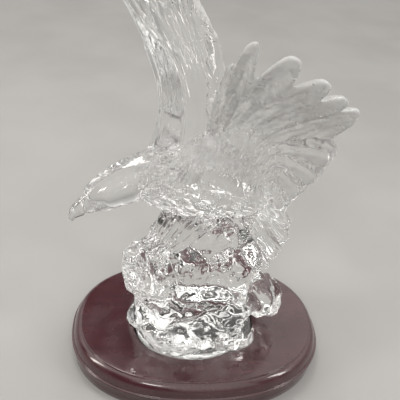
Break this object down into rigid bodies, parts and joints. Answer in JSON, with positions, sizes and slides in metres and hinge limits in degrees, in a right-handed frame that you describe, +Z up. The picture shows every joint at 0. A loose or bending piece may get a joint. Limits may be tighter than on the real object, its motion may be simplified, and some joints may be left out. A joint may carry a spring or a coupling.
{
  "type": "cast glass eagle sculpture on an oval wood plinth",
  "caption": "Clear cast-glass eagle landing on a rock with both wings raised, seated in a shallow recess of an oval lacquered wood plinth.",
  "frame": {"origin": "centre of the plinth's underside, on the surface it stands on", "axes": "+Z up, +X along the plinth's long side to the right as seen from the front, +Y to the back; the beak points to the front left"},
  "size_m": [0.19, 0.1624, 0.2987],
  "materials": {
    "clear_glass": "polished clear crystal, satin on the outer feathers",
    "lacquered_wood": "dark cherry gloss lacquer"
  },
  "bodies": {
    "root": {"crystal_eagle": "clear_glass", "wood_plinth": "lacquered_wood"}
  },
  "joints": []
}
